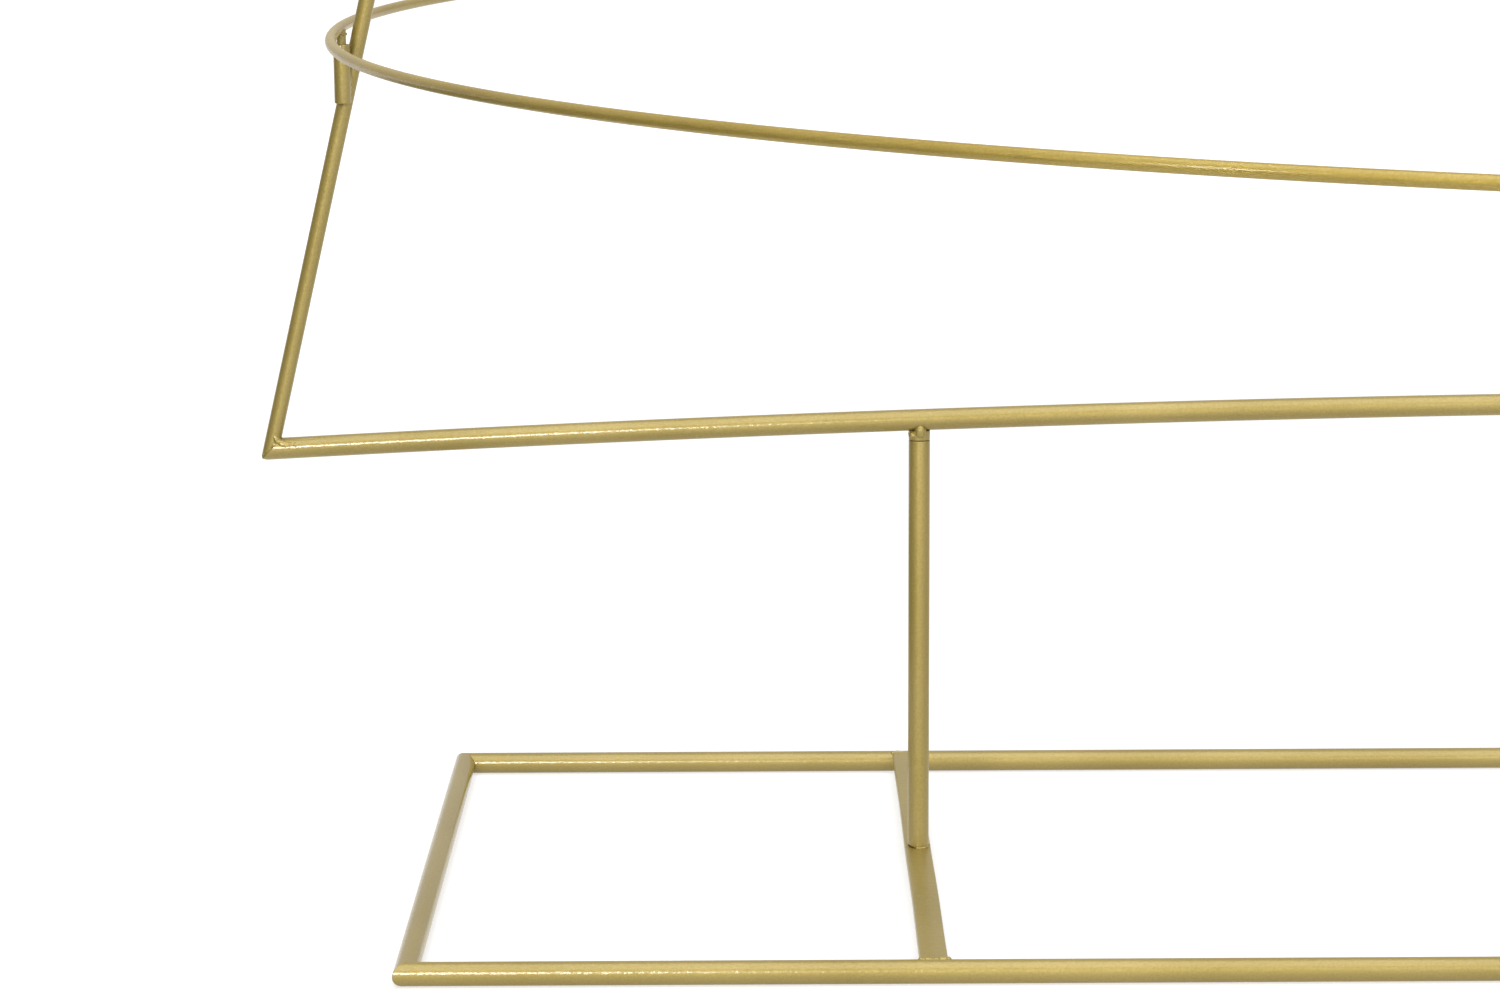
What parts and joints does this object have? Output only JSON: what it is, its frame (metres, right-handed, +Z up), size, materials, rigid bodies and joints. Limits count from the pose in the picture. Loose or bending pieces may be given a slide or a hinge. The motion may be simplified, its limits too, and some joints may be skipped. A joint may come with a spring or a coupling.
{
  "type": "tiered cake stand",
  "caption": "Upright trapezoid frame of round rod on a flat base loop with posts, carrying loose round hoops that grow smaller towards the top.",
  "frame": {"origin": "centre of the base loop, on the table", "axes": "+Z up, +X to the right along the long rails, -Y towards the front, where the sleeves are welded"},
  "size_m": [0.5758, 0.5454, 0.5361],
  "materials": {
    "gold_paint": "satin pale gold metallic paint"
  },
  "bodies": {
    "base": {"base_front_rail": "gold_paint", "base_back_rail": "gold_paint", "base_left_rail": "gold_paint", "base_right_rail": "gold_paint", "left_strap": "gold_paint", "right_strap": "gold_paint", "left_post": "gold_paint", "right_post": "gold_paint"},
    "frame": {"lower_bar": "gold_paint", "top_bar": "gold_paint", "left_side_bar": "gold_paint", "right_side_bar": "gold_paint", "left_collar": "gold_paint", "right_collar": "gold_paint", "left_spigot": "gold_paint", "right_spigot": "gold_paint", "lower_left_sleeve": "gold_paint", "lower_right_sleeve": "gold_paint", "middle_left_sleeve": "gold_paint", "middle_right_sleeve": "gold_paint", "upper_left_sleeve": "gold_paint", "upper_right_sleeve": "gold_paint"},
    "lower_tier": {"lower_hoop": "gold_paint", "lower_left_peg": "gold_paint", "lower_right_peg": "gold_paint"},
    "middle_tier": {"middle_hoop": "gold_paint", "middle_left_peg": "gold_paint", "middle_right_peg": "gold_paint"},
    "upper_tier": {"upper_hoop": "gold_paint", "upper_left_peg": "gold_paint", "upper_right_peg": "gold_paint"}
  },
  "joints": [
    {"name": "frame_lift", "type": "slide", "parent": "base", "child": "frame", "axis": [0, 0, 1], "range_m": [0, 0.012]},
    {"name": "lower_hoop_lift", "type": "slide", "parent": "frame", "child": "lower_tier", "axis": [0, 0, 1], "range_m": [0, 0.009]},
    {"name": "middle_hoop_lift", "type": "slide", "parent": "frame", "child": "middle_tier", "axis": [0, 0, 1], "range_m": [0, 0.009]},
    {"name": "upper_hoop_lift", "type": "slide", "parent": "frame", "child": "upper_tier", "axis": [0, 0, 1], "range_m": [0, 0.009]}
  ]
}
